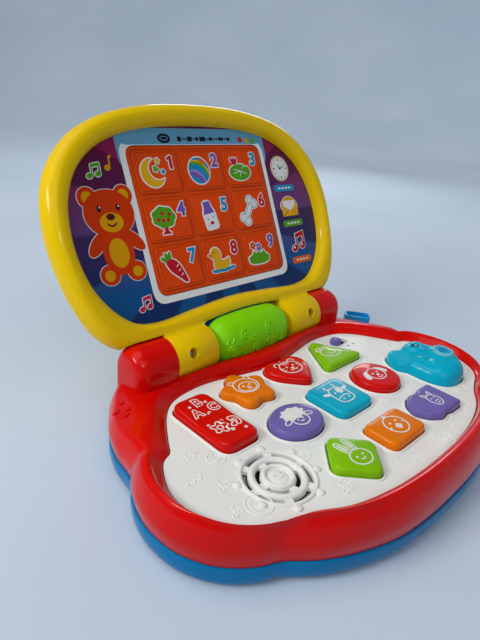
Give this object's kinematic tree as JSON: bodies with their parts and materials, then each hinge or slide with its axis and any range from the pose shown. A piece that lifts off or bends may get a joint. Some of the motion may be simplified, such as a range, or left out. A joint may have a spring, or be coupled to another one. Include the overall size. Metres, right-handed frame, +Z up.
{
  "type": "toy laptop computer",
  "caption": "Toy laptop with a cloud-shaped base, shaped press keys, a rocker key, an animal-shaped mouse key, a slide switch, and a hinged lid with a picture screen and a spinning roller.",
  "frame": {"origin": "centre of the footprint of the whole object with its lid open, on the surface it stands on", "axes": "+X to the laptop's right, +Y to its back, +Z up"},
  "size_m": [0.2794, 0.2444, 0.187],
  "materials": {
    "red_plastic": "glossy",
    "blue_plastic": "glossy",
    "white_plastic": "satin, low sheen",
    "yellow_plastic": "glossy",
    "green_plastic": "glossy",
    "cyan_plastic": "glossy",
    "purple_plastic": "glossy",
    "orange_plastic": "glossy",
    "printed_card": "printed, satin",
    "window_plastic": "translucent, finely ribbed",
    "foot_rubber": "matt",
    "silicone": "matt",
    "circuit_board": "satin",
    "steel": "plated",
    "cell_jacket": "satin",
    "cone_paper": "matt",
    "diode_resin": "clear-cast"
  },
  "bodies": {
    "base": {"bottom_shell": "blue_plastic", "top_shell": "red_plastic", "keyboard_panel": "white_plastic", "keypad_membrane": "silicone", "main_board": "circuit_board", "speaker_basket": "steel", "speaker_cone": "cone_paper", "battery_1": "cell_jacket", "battery_2": "cell_jacket", "battery_contact_flat": "steel", "battery_contact_spring": "steel", "battery_contact_bridge": "steel", "battery_door": "blue_plastic", "battery_door_screw": "steel", "foot_1": "foot_rubber", "foot_2": "foot_rubber", "foot_3": "foot_rubber", "foot_4": "foot_rubber", "case_screw_1": "steel", "case_screw_2": "steel", "case_screw_3": "steel", "case_screw_4": "steel", "case_screw_5": "steel", "case_screw_6": "steel", "hinge_pin_left": "steel", "hinge_pin_right": "steel"},
    "lid": {"lid_bezel": "yellow_plastic", "lid_back": "yellow_plastic", "screen_panel": "printed_card", "window_grid": "window_plastic", "lid_board": "circuit_board", "diode_1": "diode_resin", "diode_2": "diode_resin", "diode_3": "diode_resin", "lid_screw_1": "steel", "lid_screw_2": "steel", "lid_screw_3": "steel", "lid_screw_4": "steel", "barrel_screw_left": "steel", "barrel_screw_right": "steel"},
    "roller": {"roller_front": "green_plastic", "roller_back": "blue_plastic", "roller_axle": "steel"},
    "key_star": {"button_star": "orange_plastic"},
    "key_heart": {"button_heart": "red_plastic"},
    "key_triangle": {"button_triangle": "green_plastic"},
    "key_oval": {"button_oval": "purple_plastic"},
    "key_square": {"button_square": "cyan_plastic"},
    "key_circle": {"button_circle": "red_plastic"},
    "key_diamond": {"button_diamond": "green_plastic"},
    "key_rectangle": {"button_rectangle": "orange_plastic"},
    "key_fish": {"button_fish": "purple_plastic"},
    "rocker": {"mode_rocker": "red_plastic"},
    "mouse": {"mouse_button": "cyan_plastic"},
    "slider": {"power_slider": "purple_plastic"}
  },
  "joints": [
    {"name": "lid_hinge", "type": "hinge", "parent": "base", "child": "lid", "pos_m": [0, 0.04235, 0.044], "axis": [1, 0, 0], "range_deg": [0, 116.5]},
    {"name": "roller_spin", "type": "hinge", "parent": "lid", "child": "roller", "pos_m": [0, 0.04235, 0.044], "axis": [1, 0, 0], "continuous": true},
    {"name": "press_star", "type": "slide", "parent": "base", "child": "key_star", "axis": [0, 0, -1], "range_m": [0, 0.0025], "stiffness_N_per_m": 400, "springref_m": -0.0006},
    {"name": "press_heart", "type": "slide", "parent": "base", "child": "key_heart", "axis": [0, 0, -1], "range_m": [0, 0.0025], "stiffness_N_per_m": 400, "springref_m": -0.0006},
    {"name": "press_triangle", "type": "slide", "parent": "base", "child": "key_triangle", "axis": [0, 0, -1], "range_m": [0, 0.0025], "stiffness_N_per_m": 400, "springref_m": -0.0006},
    {"name": "press_oval", "type": "slide", "parent": "base", "child": "key_oval", "axis": [0, 0, -1], "range_m": [0, 0.0025], "stiffness_N_per_m": 400, "springref_m": -0.0006},
    {"name": "press_square", "type": "slide", "parent": "base", "child": "key_square", "axis": [0, 0, -1], "range_m": [0, 0.0025], "stiffness_N_per_m": 400, "springref_m": -0.0006},
    {"name": "press_circle", "type": "slide", "parent": "base", "child": "key_circle", "axis": [0, 0, -1], "range_m": [0, 0.0025], "stiffness_N_per_m": 400, "springref_m": -0.0006},
    {"name": "press_diamond", "type": "slide", "parent": "base", "child": "key_diamond", "axis": [0, 0, -1], "range_m": [0, 0.0025], "stiffness_N_per_m": 400, "springref_m": -0.0006},
    {"name": "press_rectangle", "type": "slide", "parent": "base", "child": "key_rectangle", "axis": [0, 0, -1], "range_m": [0, 0.0025], "stiffness_N_per_m": 400, "springref_m": -0.0006},
    {"name": "press_fish", "type": "slide", "parent": "base", "child": "key_fish", "axis": [0, 0, -1], "range_m": [0, 0.0025], "stiffness_N_per_m": 400, "springref_m": -0.0006},
    {"name": "press_mouse", "type": "slide", "parent": "base", "child": "mouse", "axis": [0, 0, -1], "range_m": [0, 0.0025], "stiffness_N_per_m": 500, "springref_m": -0.0008},
    {"name": "rocker_tilt", "type": "hinge", "parent": "base", "child": "rocker", "pos_m": [-0.0773, -0.01395, 0.0268], "axis": [1, 0, 0], "range_deg": [-3.5, 3.5], "stiffness_Nm_per_rad": 0.4},
    {"name": "power_slide", "type": "slide", "parent": "base", "child": "slider", "axis": [1, 0, 0], "range_m": [0, 0.01]}
  ]
}
